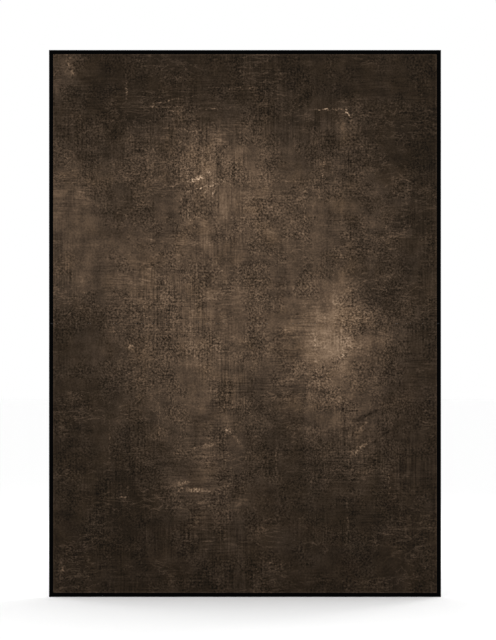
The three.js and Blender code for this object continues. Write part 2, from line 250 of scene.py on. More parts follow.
# Broad light and dark areas: middle across, height, reach across, reach up, and steps lighter.
PATCHES = [
    (-0.10, 1.69, 0.27, 0.17, 34),
    (-0.10, 1.26, 0.72, 0.34, 28),
    (-0.70, 1.55, 0.20, 0.24, 24),
    (-0.45, 1.27, 0.26, 0.14, 8),
    (0.35, 1.02, 0.17, 0.17, 34),
    (0.46, 0.84, 0.17, 0.20, 20),
    (-0.14, 0.86, 0.34, 0.28, 28),
    (-0.15, 0.47, 0.20, 0.22, 20),
    (0.26, 0.80, 0.13, 0.16, 16),
    (0.40, 0.60, 0.16, 0.16, 17),
    (0.36, 1.52, 0.22, 0.21, 14),
    (-0.72, 2.04, 0.10, 0.12, 21),
    (0.38, 1.84, 0.11, 0.08, 11),
    (-0.40, 1.68, 0.14, 0.12, 8),
    (0.42, 1.26, 0.14, 0.12, -6),
    (-0.06, 1.50, 0.30, 0.13, 13),
    (0.00, 0.20, 0.30, 0.20, 4),
    (-0.48, 1.46, 0.10, 0.10, -10),
    (-0.62, 0.98, 0.12, 0.12, -5),
    (0.00, 0.80, 0.07, 0.10, -8),
    (0.53, 1.17, 0.08, 0.05, -12),
    (0.47, 1.06, 0.08, 0.08, 6),
    (0.35, 1.06, 0.04, 0.20, 9),
    (0.31, 0.94, 0.12, 0.04, 5),
    (-0.50, 1.76, 0.12, 0.07, -7),
    (-0.64, 1.72, 0.10, 0.05, -6),
    (-0.40, 0.36, 0.14, 0.12, -6),
    (-0.50, 0.23, 0.16, 0.10, -4),
    (0.72, 1.65, 0.09, 0.30, -7),
    (-0.34, 1.58, 0.07, 0.18, -7),
    (-0.38, 1.81, 0.09, 0.06, -5),
    (-0.52, 1.88, 0.05, 0.20, -6),
    (-0.24, 1.68, 0.10, 0.09, 9),
    (0.18, 1.78, 0.08, 0.08, -5),
    (0.40, 1.80, 0.12, 0.06, 6),
    (0.11, 0.68, 0.07, 0.10, -8),
    (0.34, 0.77, 0.07, 0.05, 6),
    (-0.45, 0.96, 0.12, 0.12, 5),
    (-0.64, 1.69, 0.10, 0.07, 4),
]

# Where the grain is rubbed bare, or glazed smooth: middle, height, reach across, reach up, share.
RUBBED = [
    (-0.62, 1.76, 0.13, 0.09, 0.8),
    (-0.34, 1.68, 0.14, 0.07, 0.7),
    (-0.24, 1.64, 0.07, 0.07, 0.7),
    (0.34, 0.54, 0.15, 0.08, 0.9),
    (-0.34, 0.52, 0.08, 0.10, 0.6),
    (-0.42, 0.98, 0.09, 0.08, 0.8),
    (0.53, 1.12, 0.10, 0.10, 0.9),
    (-0.64, 1.46, 0.13, 0.14, -0.9),
    (-0.60, 1.32, 0.10, 0.10, -0.7),
    (0.22, 0.99, 0.08, 0.07, -0.9),
]

# Scraped marks: middle across, height, turn in degrees, half length, half width and steps lighter.
STROKES = [
    (-0.185, 1.606, 20, 0.030, 0.020, 42),
    (-0.146, 1.634, -30, 0.024, 0.014, 36),
    (-0.205, 1.600, 12, 0.050, 0.006, 30),
    (-0.135, 1.572, 50, 0.030, 0.012, 26),
    (-0.225, 1.640, -10, 0.030, 0.008, 20),
    (-0.155, 1.548, 80, 0.026, 0.008, 22),
    (0.325, 1.872, 2, 0.078, 0.005, 64),
    (0.400, 1.848, -58, 0.036, 0.005, 70),
    (-0.219, 1.475, 88, 0.040, 0.004, 34),
    (-0.205, 1.452, 40, 0.020, 0.005, 26),
    (0.228, 1.485, 90, 0.060, 0.005, 22),
    (0.299, 1.640, 91, 0.050, 0.005, 30),
    (0.205, 1.597, 1, 0.100, 0.004, 18),
    (-0.035, 1.954, -1, 0.150, 0.004, 18),
    (-0.260, 1.866, 1, 0.090, 0.004, 20),
    (-0.090, 1.251, 2, 0.070, 0.004, 18),
    (0.380, 1.305, -8, 0.030, 0.010, 22),
    (-0.383, 1.075, -3, 0.050, 0.005, 18),
    (0.350, 1.120, 90, 0.080, 0.012, 14),
    (0.273, 0.933, 90, 0.080, 0.012, 12),
    (0.376, 0.925, 89, 0.055, 0.004, 24),
    (0.342, 1.150, 90, 0.110, 0.006, 12),
    (0.305, 1.075, 84, 0.040, 0.010, 12),
    (0.440, 0.568, 40, 0.060, 0.018, 26),
    (0.470, 0.700, 25, 0.080, 0.009, -20),
    (0.500, 0.600, 38, 0.060, 0.008, -18),
    (0.450, 0.650, 62, 0.050, 0.010, 20),
    (0.530, 0.730, 18, 0.045, 0.008, 18),
    (0.560, 0.640, 30, 0.050, 0.007, -14),
    (-0.205, 0.410, -4, 0.080, 0.012, 30),
    (-0.235, 0.440, 8, 0.030, 0.014, 24),
    (-0.480, 0.382, 2, 0.045, 0.005, 26),
    (-0.450, 0.410, 90, 0.022, 0.010, 20),
    (-0.600, 0.226, 1, 0.070, 0.003, 22),
    (-0.590, 0.210, -2, 0.062, 0.003, 18),
    (-0.155, 0.578, 14, 0.070, 0.010, 20),
    (-0.045, 0.620, -46, 0.050, 0.007, 24),
    (-0.070, 0.640, 84, 0.040, 0.006, 20),
    (-0.440, 0.961, 80, 0.018, 0.016, 24),
    (-0.705, 0.108, 84, 0.055, 0.020, 18),
    (0.503, 0.195, 90, 0.022, 0.006, 26),
    (0.394, 0.294, 90, 0.100, 0.004, 16),
    (0.553, 0.448, 90, 0.086, 0.004, 16),
    (0.115, 0.130, -2, 0.056, 0.005, 14),
    (0.275, 0.208, 6, 0.030, 0.014, 12),
    (-0.670, 2.030, -70, 0.040, 0.016, 18),
    (0.560, 1.880, 88, 0.050, 0.004, 12),
    (-0.560, 1.760, 4, 0.060, 0.005, 12),
    (-0.300, 1.905, 14, 0.085, 0.004, 26),
    (-0.190, 1.925, 12, 0.050, 0.003, 22),
    (-0.330, 1.880, 1, 0.150, 0.003, 24),
    (-0.130, 1.875, 1, 0.080, 0.003, 26),
    (-0.250, 1.795, -6, 0.090, 0.004, 28),
    (-0.455, 1.950, 90, 0.060, 0.006, 26),
    (-0.175, 1.570, 14, 0.070, 0.004, 34),
    (-0.080, 1.595, -28, 0.050, 0.004, 28),
    (-0.120, 1.555, 62, 0.045, 0.004, 26),
    (-0.260, 1.585, 24, 0.040, 0.004, 24),
    (-0.330, 0.700, 90, 0.120, 0.004, 14),
    (-0.520, 0.620, 90, 0.140, 0.004, 12),
    (0.120, 0.520, 90, 0.110, 0.004, 12),
]

# The print's hue, each channel over the mean of the three: in the darkest ink, and from mid tones up.
DARK_HUE = (1.290, 1.004, 0.706, 1.0)
MIDDLE_HUE = (1.217, 0.992, 0.791, 1.0)
PALE_HUE = (1.165, 1.000, 0.835, 1.0)


def patch_group():
    """A soft oval: 1 at its middle, falling off as a bell curve."""
    group = bpy.data.node_groups.new("soft_patch", "ShaderNodeTree")
    for name, kind in (("Where", "Vector"), ("Middle", "Vector"), ("Reach", "Vector")):
        group.interface.new_socket(name, in_out="INPUT", socket_type=f"NodeSocket{kind}")
    group.interface.new_socket("Steps", in_out="INPUT", socket_type="NodeSocketFloat")
    group.interface.new_socket("Tone", in_out="OUTPUT", socket_type="NodeSocketFloat")
    n = Nodes(group)
    ends = n.add("NodeGroupInput").outputs
    off = n.vector("DIVIDE", n.vector("SUBTRACT", ends["Where"], ends["Middle"]), ends["Reach"])
    squared = n.vector("DOT_PRODUCT", off, off)
    bell = n.math("EXPONENT", n.math("MULTIPLY", squared, -1.0))
    out = n.add("NodeGroupOutput")
    n.feed(out.inputs["Tone"], n.math("MULTIPLY", bell, ends["Steps"]))
    return group


def stroke_group():
    """A short brush stroke or scrape, tapering to nothing at its ends and sides."""
    group = bpy.data.node_groups.new("stroke", "ShaderNodeTree")
    for name, kind in (("Where", "Vector"), ("Middle", "Vector"), ("Half Size", "Vector")):
        group.interface.new_socket(name, in_out="INPUT", socket_type=f"NodeSocket{kind}")
    for name in ("Turn", "Steps"):
        group.interface.new_socket(name, in_out="INPUT", socket_type="NodeSocketFloat")
    group.interface.new_socket("Tone", in_out="OUTPUT", socket_type="NodeSocketFloat")
    n = Nodes(group)
    ends = n.add("NodeGroupInput").outputs
    turned = n.add(
        "ShaderNodeVectorRotate",
        {"Vector": n.vector("SUBTRACT", ends["Where"], ends["Middle"]), "Angle": ends["Turn"]},
        rotation_type="Z_AXIS",
        invert=True,
    ).outputs["Vector"]
    off = n.vector("DIVIDE", turned, ends["Half Size"])
    squares = n.add("ShaderNodeSeparateXYZ", {"Vector": n.vector("MULTIPLY", off, off)})
    along = n.math("SUBTRACT", 1.0, squares.outputs["X"], clamp=True)
    across = n.math("SUBTRACT", 1.0, squares.outputs["Y"], clamp=True)
    shape = n.math("MULTIPLY", along, n.math("MULTIPLY", across, across))
    out = n.add("NodeGroupOutput")
    n.feed(out.inputs["Tone"], n.math("MULTIPLY", shape, ends["Steps"]))
    return group


def use_group(n, group, **inputs):
    node = n.add("ShaderNodeGroup", node_tree=group)
    for name, value in inputs.items():
        n.feed(node.inputs[name.replace("_", " ")], value)
    return node.outputs[0]


def soft_patch(n, group, where, x, z, across, up, amount):
    """One soft oval, of that amount at its middle."""
    places = {"Where": where, "Middle": (x, z, 0.0), "Reach": (across, up, 1.0)}
    return use_group(n, group, Steps=amount, **places)


def broad_tone(n, where, group):
    """The print's large light and dark areas, in steps."""
    warped = n.drift(where, 5.0, 4.0, 0.6, 0.28)
    tones = [soft_patch(n, group, warped, *row) for row in PATCHES]
    return n.math("ADD", n.total(tones), GROUND_TONE)


def scraped_marks(n, where, grain):
    """The pale scrapes and dabs, broken up by the grain, in steps."""
    moved = n.drift(where, 60.0, 3.0, 0.5, 0.02)
    group = stroke_group()
    tones = []
    for x, z, turn, length, width, steps in STROKES:
        places = {"Where": moved, "Middle": (x, z, 0.0), "Half_Size": (length, width, 1.0)}
        tones.append(use_group(n, group, Turn=math.radians(turn), Steps=steps, **places))
    patchy = n.between(n.noise(where, 38.0, 3.0, 0.6), 0.38, 0.60, 0.4, 1.3)
    flecked = n.between(grain, 0.38, 0.64, 0.3, 2.0)
    return n.math("MULTIPLY", n.total(tones), n.math("MULTIPLY", patchy, flecked))


def edge_fade(n, where):
    """1 beside the binding, where the ink stops short, and 0 from a few millimetres in."""
    parts = n.add("ShaderNodeSeparateXYZ", {"Vector": where}).outputs
    from_side = n.math("SUBTRACT", PANEL_WIDTH / 2, n.math("ABSOLUTE", parts["X"]))
    height = n.math("ABSOLUTE", n.math("SUBTRACT", parts["Y"], FOLD_Z))
    from_end = n.math("SUBTRACT", PANEL_HEIGHT / 2, height)
    nearest = n.math("MINIMUM", from_side, from_end)
    return n.between(nearest, BORDER_WIDTH + 2 * MM, BORDER_WIDTH + 5 * MM, 1.0, 0.0)


def print_tone(n, where):
    """The whole print as a tone from 0 to 1, with its fine grain beside it."""
    patches = patch_group()
    tone = broad_tone(n, where, patches)
    grain = n.noise(n.stretched(where, 132.0, 132.0, 3.0), 1.0, 4.0, 0.62, 0.12)

    # Clouds of pigment, and broad dry brushing that leaves blocky edges up and across.
    clouds = n.swing(n.noise(where, 17.0, 5.0, 0.62), 0.75)
    broad_up = n.swing(n.noise(n.stretched(where, 26.0, 5.0, 31.0), 1.0, 4.0, 0.62), 0.42)
    broad_across = n.swing(n.noise(n.stretched(where, 5.0, 28.0, 47.0), 1.0, 4.0, 0.62), 0.42)

    # Fine dry brushing: long thin streaks up and across, each in its own areas.
    upward = n.swing(n.noise(n.stretched(where, 150.0, 7.0), 1.0, 2.0, 0.6), 0.85)
    across = n.swing(n.noise(n.stretched(where, 9.0, 170.0, 5.0), 1.0, 2.0, 0.6), 0.75)
    up_area = n.between(n.noise(where, 3.1, 2.0), 0.45, 0.62)
    across_area = n.between(n.noise(n.stretched(where, 3.4, 3.4, 8.0), 1.0, 2.0), 0.46, 0.62)

    # The grain is strong where the ground is scraped bare, and weak where it is glazed over.
    bare = n.between(n.noise(n.stretched(where, 8.0, 8.0, 21.0), 1.0, 4.0, 0.65), 0.42, 0.58)
    placed = n.drift(where, 9.0, 4.0, 0.6, 0.16)
    rubbed = n.total([soft_patch(n, patches, placed, *row) for row in RUBBED])
    bare = n.math("ADD", bare, rubbed, clamp=True)
    contrast = n.between(bare, 0.0, 1.0, 0.72, 2.35, smooth=False)
    changes = [
        clouds,
        broad_up,
        broad_across,
        n.math("MULTIPLY", upward, up_area),
        n.math("MULTIPLY", across, across_area),
        n.math("MULTIPLY", n.swing(grain, 1.0), contrast),
    ]

    # Hairline scratches that follow the brushing, and darker cracks where the ground is bare.
    scratch_where = n.stretched(where, 13.0, 44.0, 61.0)
    scratch_area = n.between(n.noise(n.stretched(where, 4.2, 6.0, 77.0), 1.0, 3.0, 0.6), 0.46, 0.62)
    scratches = n.math("MULTIPLY", n.hairlines(scratch_where, 0.035, 0.45), scratch_area)
    crack_where = n.stretched(where, 34.0, 40.0, 19.0)
    cracks = n.math("MULTIPLY", n.hairlines(crack_where, 0.045, 0.5), bare)
    changes.append(n.math("MULTIPLY", cracks, -0.24))
    whole = n.math("MULTIPLY", tone, n.math("ADD", n.total(changes), 1.0))
    whole = n.math("ADD", whole, n.math("MULTIPLY", scratches, SCRATCH_STEPS))
    whole = n.math("ADD", whole, scraped_marks(n, where, grain))
    whole = n.math("ADD", whole, n.math("MULTIPLY", edge_fade(n, where), EDGE_STEPS))
    whole = n.math("MAXIMUM", whole, DARKEST_TONE)
    return n.math("DIVIDE", whole, WHITE_TONE), grain


def hue_of(n, where, tone):
    """Warm brown in the dark ink, greyer where it is pale, and varied a little from place to place."""
    varied = n.swing(n.noise(where, 9.0, 4.0, 0.6), 0.9)
    depth = n.between(tone, 0.10, 0.205, smooth=False)
    dark_to_middle = n.mix(n.math("ADD", depth, varied, clamp=True), DARK_HUE, MIDDLE_HUE)
    return n.mix(n.between(tone, 0.32, 0.60, smooth=False), dark_to_middle, PALE_HUE)


def tone_to_colour(n, tone, hue, gain):
    """A display tone as a linear colour: the display's own curve, then the light's gain."""
    spread = n.scaled(hue, tone)
    lifted = n.vector("MULTIPLY_ADD", spread, (1 / 1.055,) * 3, (0.055 / 1.055,) * 3)
    linear = n.vector("POWER", lifted, (2.4, 2.4, 2.4))
    return n.scaled(linear, gain)


def weave_height(n, where, threads):
    """A plain weave: crossing threads, that many a metre."""
    waves = []
    for band in ("X", "Y"):
        inputs = {"Vector": where, "Scale": threads * BAND_PERIOD, "Distortion": 0.4}
        inputs.update({"Detail": 1.0, "Detail Scale": 0.6})
        wave = n.add("ShaderNodeTexWave", inputs, bands_direction=band, wave_type="BANDS")
        waves.append(wave.outputs["Fac"])
    return n.math("MAXIMUM", waves[0], waves[1])


def print_material():
    """The printed face: the tone of the print, its hue, and a fine plain weave."""
    material, n, shader = new_material("printed_cloth")
    where = n.flat_places()
    tone, grain = print_tone(n, where)
    hue = hue_of(n, where, tone)
    weave = weave_height(n, where, WEAVE_THREADS)
    slub = n.noise(where, WEAVE_THREADS, 2.0)
    threads = n.math("ADD", n.between(weave, 0.5, 1.0, 0.84, 1.07), n.swing(slub, 0.20))
    colour = n.scaled(tone_to_colour(n, tone, hue, PRINT_GAIN), threads)
    n.feed(shader.inputs["Base Color"], colour)
    height = n.math("ADD", n.math("MULTIPLY", weave, 0.7), n.math("MULTIPLY", slub, 0.5))
    n.feed(shader.inputs["Normal"], n.bump(height, 0.16 * MM, 0.5))
    n.feed(shader.inputs["Roughness"], n.between(grain, 0.3, 0.7, 0.98, 0.9))
    shader.inputs["Specular IOR Level"].default_value = 0.06
    return material


def reverse_material():
    """The cloth's unprinted back: undyed grey-brown, with the print just showing through."""
    material, n, shader = new_material("cloth_reverse")
    where = n.flat_places()
    through = n.between(broad_tone(n, where, patch_group()), 30.0, 85.0, smooth=False)
    slubs = n.noise(n.stretched(where, 45.0, 900.0), 1.0, 2.0)
    fleck = n.between(slubs, 0.5, 0.75, 0.0, 0.22)
    base = n.mix(through, (0.138, 0.127, 0.113, 1.0), (0.182, 0.169, 0.151, 1.0))
    weave = weave_height(n, where, WEAVE_THREADS)
    threads = n.between(weave, 0.5, 1.0, 0.80, 1.06)
    flecked = n.mix(fleck, base, (0.25, 0.232, 0.208, 1.0))
    n.feed(shader.inputs["Base Color"], n.scaled(flecked, threads))
    n.feed(shader.inputs["Normal"], n.bump(n.math("ADD", weave, slubs), 0.15 * MM, 0.5))
    shader.inputs["Roughness"].default_value = 0.95
    shader.inputs["Specular IOR Level"].default_value = 0.1
    return material


# ---- Stage, light and camera ----


def floor():
    """A plain pale floor, with its far edge well out of sight."""
    reach = 30.0
    mesh = bpy.data.meshes.new("floor")
    corners = [(-reach, -reach), (reach, -reach), (reach, reach), (-reach, reach)]
    mesh.from_pydata([(x, y, 0.0) for x, y in corners], [], [(0, 1, 2, 3)])
    material, n, shader = new_material("pale_floor")
    speckle = n.noise(n.solid_places(), 40.0, 3.0)
    pale = n.mix(speckle, (0.975, 0.975, 0.975, 1), (0.995, 0.995, 0.995, 1))
    n.feed(shader.inputs["Base Color"], pale)
    shader.inputs["Roughness"].default_value = 0.9
    shader.inputs["Specular IOR Level"].default_value = 0.1
    add_piece("floor", mesh, material)


def area_light(name, place, target, size, power):
    data = bpy.data.lights.new(name, "AREA")
    data.shape = "RECTANGLE"
    data.size, data.size_y = size
    data.energy = power
    light = new_object(name, data)
    light.location = place
    light.rotation_euler = (Vector(target) - Vector(place)).to_track_quat("-Z", "Y").to_euler()


def studio():
    """White surroundings, and large soft lights before and behind the panel."""
    world = bpy.data.worlds.new("studio")
    bpy.context.scene.world = world
    world.use_nodes = True
    world.node_tree.nodes["Background"].inputs["Color"].default_value = (1.0, 1.0, 1.0, 1.0)
    world.node_tree.nodes["Background"].inputs["Strength"].default_value = 1.0
    middle = (MIDDLE_X, 0.0, FOLD_Z)
    area_light("key", (-3.4, -4.2, 3.6), middle, (2.4, 2.4), 40.0)
    area_light("fill", (3.6, -4.2, 2.2), middle, (2.4, 2.4), 24.0)
    area_light("back_key", (3.0, 4.0, 3.4), middle, (1.6, 1.6), 60.0)
    area_light("back_fill", (-3.6, 3.6, 1.6), middle, (1.6, 1.6), 30.0)


# How the picture frames the panel: the height that it takes in, and where the panel's middle is.
VIEW_HEIGHT = 2.457
AIM_RIGHT = 0.0115
AIM_UP = 0.0134
CAMERA_DISTANCE = 12.0
SENSOR = 36.0


def camera():
    data = bpy.data.cameras.new("camera")
    data.sensor_width = SENSOR
    data.lens = SENSOR * CAMERA_DISTANCE / VIEW_HEIGHT
    data.clip_end = 200.0
    view = new_object("camera", data)
    view.location = (MIDDLE_X + AIM_RIGHT, CLOTH_FRONT - CAMERA_DISTANCE, FOLD_Z + AIM_UP)
    view.rotation_euler = (math.radians(90), 0.0, 0.0)
    bpy.context.scene.camera = view


# ---- Cloth ----

EDGE_INSET = 0.8 * MM  # the cloth stops this far inside the binding's outer edge
SEAM = 0.005 * MM  # half the parting between pieces of one cloth
NOTCH_IN = STILE_IN + 9.8 * MM  # the notch round each hinge barrel, from here
NOTCH_OUT = STILE_OUT + 1.2 * MM
NOTCH_RISE = 3.2 * MM
COLUMN_STEP = 6.0 * MM
ROW_STEP = 14.0 * MM
BILLOW = 0.5 * MM
PLEAT = 0.2 * MM
PLEATS = 26


def steps_between(points, step):
    """The given values, with even steps of about that size between them."""
    values = [points[0]]
    for low, high in zip(points, points[1:]):
        count = max(1, round((high - low) / step))
        values += [low + (high - low) * (i + 1) / count for i in range(count)]
    return values


def billow(x, z):
    """How far the taut cloth stands back from flat: nothing over the tubes, and a little inside.

    It also has soft ripples that run up and down, in rows across its width.
    """
    u = (x - MIDDLE_X) / STILE_IN
    v = (z - FOLD_Z) / (PANEL_HEIGHT / 2 - BORDER_WIDTH)
    inside = max(0.0, 1 - u**8) * max(0.0, 1 - (v / 0.985) ** 8)
    slack = 0.5 + 0.3 * math.sin(5.1 * u + 2.2 * v) + 0.2 * math.sin(3.3 * v - 7.0 * u)
    wander = 0.9 * math.sin(3.0 * v) + 0.8 * math.sin(9.0 * u)
    ripple = 0.5 + 0.5 * math.sin(math.pi * PLEATS * u + wander)
    return (BILLOW * slack + PLEAT * ripple) * inside


def gather(piece):
    """Gives the piece a mesh of its own."""
    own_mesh(piece)


def cloth_piece(name, half, across):
    """Part of the printed cloth, between the given values across the panel, in one half of it."""
    up = HALVES[half]
    columns = steps_between(across, COLUMN_STEP)
    rows = steps_between([SEAM, NOTCH_RISE, PANEL_HEIGHT / 2 - EDGE_INSET], ROW_STEP)
    rows = [FOLD_Z + up * r for r in rows]
    build = bmesh.new()
    flat = build.loops.layers.uv.new("flat")
    grid = [
        [build.verts.new((MIDDLE_X + x, CLOTH_FRONT + billow(x, z), z)) for x in columns] for z in rows
    ]
    for r in range(len(rows) - 1):
        for c in range(len(columns) - 1):
            middle = abs(columns[c] + columns[c + 1]) / 2
            if r == 0 and NOTCH_IN < middle < NOTCH_OUT:
                continue
            corners = [grid[r][c], grid[r][c + 1], grid[r + 1][c + 1], grid[r + 1][c]]
            face = build.faces.new(corners if up > 0 else corners[::-1])
            face.smooth = True
            for loop in face.loops:
                loop[flat].uv = (loop.vert.co.x - MIDDLE_X, loop.vert.co.z)
    drop_loose_points(build)
    piece = add_piece(name, built_mesh(name, build), PRINT, REVERSE)
    thicken = piece.modifiers.new("thickness", "SOLIDIFY")
    thicken.thickness = CLOTH_BACK - CLOTH_FRONT
    thicken.offset = -1.0
    thicken.material_offset = 1
    thicken.material_offset_rim = 1
    piece.modifiers.new("normals", "WEIGHTED_NORMAL").weight = 90
    return piece


def cloth(half):
    """One half of the printed cloth, held taut.

    A wide middle is carried by the left upright, and a margin is pressed on each upright.
    """
    side = PANEL_WIDTH / 2 - EDGE_INSET
    middle = cloth_piece(f"printed_cloth_{half}", half, [SEAM - STILE_IN, STILE_IN - SEAM])
    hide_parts(f"cloth_{half}")
    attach(middle, f"{half}_left_stile")
    gather(middle)
    for name, out in SIDES.items():
        across = sorted(out * x for x in (STILE_IN + SEAM, NOTCH_IN, NOTCH_OUT, side))
        margin = cloth_piece(f"printed_cloth_{half}_{name}_margin", half, across)
        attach(margin, f"{half}_{name}_stile")


# ---- Webbing binding ----

WEBBING = 0.7 * MM
BINDING_STEP = 6.0 * MM
STITCH_PITCH = 4.4 * MM
STITCH_LENGTH = 3.3 * MM
STITCH_RADIUS = 0.27 * MM
STITCH_INSET = 13.4 * MM  # from the binding's outer edge to its row of stitches
STITCH_RISE = 0.93 * MM  # in front of the cloth
STITCH_SLIP = 0.06 * MM
STITCH_TILT = 0.04
STITCH_SIDES = 6
# Place along a stitch, thickness and lift, as shares of its length and radius.
STITCH_PROFILE = ((-0.5, 0.45, -0.5), (-0.3, 0.95, 0.1), (0.3, 1.0, 0.15), (0.5, 0.45, -0.5))

# Outer skin of the folded webbing: millimetres in from the outer edge, and in front of the cloth.
BINDING_SECTION = [
    (16.5, 0.25),
    (16.2, 0.72),
    (14.8, 0.92),
    (13.4, 0.86),
    (12.0, 0.95),
    (9.0, 1.04),
    (5.3, 1.02),
    (2.2, 0.92),
    (0.7, 0.62),
    (0.0, -0.05),
    (0.5, -0.85),
    (1.6, -1.22),
    (5.4, -1.24),
    (5.9, -0.86),
]
NOTCHED_FROM = 5.3  # beside a hinge the front is cut away from here inwards, in millimetres
FACING_IN = 14.0 * MM
FACING_OVERHANG = 1.4 * MM
FACING_RISE = 8.0 * MM
FACING_PARTING = 0.05 * MM


def binding_strip(name, along, place, notched):
    """Webbing folded over an edge. place(s, d, y) gives the point at s along and d in from it."""
    build = bmesh.new()
    flat = build.loops.layers.uv.new("flat")
    rows = []
    for s in along:
        waver = 0.12 * MM * math.sin(s * 41.0) + 0.08 * MM * math.sin(s * 97.0 + 1.0)
        row = []
        for inset, front in BINDING_SECTION:
            sway = waver if inset > 10 else 0.0
            row.append(build.verts.new(place(s, inset * MM + sway, CLOTH_FRONT - front * MM)))
        rows.append(row)
    across = [0.0]
    for (d0, y0), (d1, y1) in zip(BINDING_SECTION, BINDING_SECTION[1:]):
        across.append(across[-1] + math.hypot(d1 - d0, y1 - y0) * MM)
    for r in range(len(rows) - 1):
        for c in range(len(BINDING_SECTION) - 1):
            inset, front = BINDING_SECTION[c]
            inner = min(inset, BINDING_SECTION[c + 1][0])
            if notched and r == 0 and inner >= NOTCHED_FROM and front > 0:
                continue
            marks = ((r, c), (r, c + 1), (r + 1, c + 1), (r + 1, c))
            face = build.faces.new([rows[i][j] for i, j in marks])
            face.smooth = True
            for loop, (i, j) in zip(face.loops, marks):
                loop[flat].uv = (along[i], across[j])
    drop_loose_points(build)
    bmesh.ops.recalc_face_normals(build, faces=build.faces)
    front = min(build.faces, key=lambda f: f.calc_center_median().y)
    if front.normal.y > 0:
        bmesh.ops.reverse_faces(build, faces=build.faces)
    piece = add_piece(name, built_mesh(name, build), WEB)
    thicken = piece.modifiers.new("thickness", "SOLIDIFY")
    thicken.thickness = WEBBING
    thicken.offset = -1.0
    piece.modifiers.new("normals", "WEIGHTED_NORMAL").weight = 60
    return piece


def add_stitch(build, middle, direction, tilt):
    """One stitch: a short thread, fattest in its middle, that dips into the webbing at both ends."""
    forward = Vector(direction)
    out = Vector((0.0, -1.0, 0.0))
    side = forward.cross(out)
    forward = (forward + side * tilt).normalized()
    side = forward.cross(out)
    rings = []
    for share, fat, lift in STITCH_PROFILE:
        centre = Vector(middle) + forward * (share * STITCH_LENGTH) + out * (lift * STITCH_RADIUS)
        ring = []
        for k in range(STITCH_SIDES):
            turn = math.tau * k / STITCH_SIDES
            spoke = side * math.cos(turn) + out * math.sin(turn)
            ring.append(build.verts.new(centre + spoke * (fat * STITCH_RADIUS)))
        rings.append(ring)
    join_rings(build, rings)
    build.faces.new(rings[0][::-1])
    build.faces.new(rings[-1])


def stitch_row(name, start, end, place, direction):
    """A row of stitches along a binding, from start to end."""
    build = bmesh.new()
    dice = np.random.default_rng(sum(map(ord, name)))
    count = int((end - start) / STITCH_PITCH)
    for i in range(count):
        s = start + (end - start) * (i + 0.5) / count
        slip = dice.normal(0.0, STITCH_SLIP)
        middle = place(s, STITCH_INSET + slip, CLOTH_FRONT - STITCH_RISE)
        add_stitch(build, middle, direction, dice.normal(0.0, STITCH_TILT))
    bmesh.ops.recalc_face_normals(build, faces=build.faces)
    piece = add_piece(name, built_mesh(name, build), THREAD)
    return piece


def end_binding(half):
    """The binding over the panel's top or bottom edge.

    Its middle runs between the uprights, carried by the left one, and each of its ends is on an upright.
    """
    up, end = HALVES[half], ENDS[half]
    edge = FOLD_Z + up * PANEL_HEIGHT / 2

    def place(s, d, y):
        return (MIDDLE_X + s, y, edge - up * d)

    def run(name, low, high, stitched):
        strip = binding_strip(name, steps_between([low, high], BINDING_STEP), place, False)
        thread = stitch_row(f"{name}_stitches", *stitched, place, (1, 0, 0))
        return [strip, thread]

    middle = run(f"{end}_binding", SEAM - STILE_IN, STILE_IN - SEAM, (-STILE_IN, STILE_IN))
    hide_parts(f"{end}_border")
    for piece in middle:
        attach(piece, f"{half}_left_stile")
        gather(piece)
    trim = middle
    for side, out in SIDES.items():
        low, high = sorted((out * (STILE_IN + SEAM), out * PANEL_WIDTH / 2))
        stitched = sorted((out * STILE_IN, out * (PANEL_WIDTH / 2 - BORDER_WIDTH + 4 * MM)))
        ends = run(f"{end}_{side}_binding_end", low, high, stitched)
        for piece in ends:
            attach(piece, f"{half}_{side}_stile")
        trim += ends
    return trim


def side_binding(half, side):
    """The binding down one side of one half, cut back round the hinge barrel at the fold."""
    up, out = HALVES[half], SIDES[side]
    edge = MIDDLE_X + out * PANEL_WIDTH / 2

    def place(s, d, y):
        return (edge - out * d, y, FOLD_Z + up * s)

    stop = PANEL_HEIGHT / 2 - BORDER_WIDTH
    along = steps_between([SEAM, NOTCH_RISE, stop], BINDING_STEP)
    strip = binding_strip(f"{half}_{side}_binding", along, place, True)
    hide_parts(f"{half}_{side}_side_border")
    name = f"{half}_{side}_binding_stitches"
    thread = stitch_row(name, 2 * NOTCH_RISE, stop + 2.5 * MM, place, (0, 0, 1))
    facing = notch_facing(half, side)
    for piece in (strip, thread, facing):
        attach(piece, f"{half}_{side}_stile")
    return [strip, thread, facing]


def notch_facing(half, side):
    """A patch of webbing that backs the notch, between the hinge and the front of the tube."""
    up, out = HALVES[half], SIDES[side]
    across = sorted(out * x for x in (STILE_IN + FACING_IN, STILE_OUT + FACING_OVERHANG))
    heights = sorted((FOLD_Z + up * SEAM, FOLD_Z + up * FACING_RISE))
    behind_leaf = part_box(f"{half}_{side}_hinge_leaf")[1].y + FACING_PARTING
    low = (MIDDLE_X + across[0], behind_leaf, heights[0])
    high = (MIDDLE_X + across[1], TUBE_FRONT - FACING_PARTING, heights[1])
    facing = tape(f"{half}_{side}_notch_facing", low, high, WEB, corner=0.1 * MM, pull=0.0)
    return facing


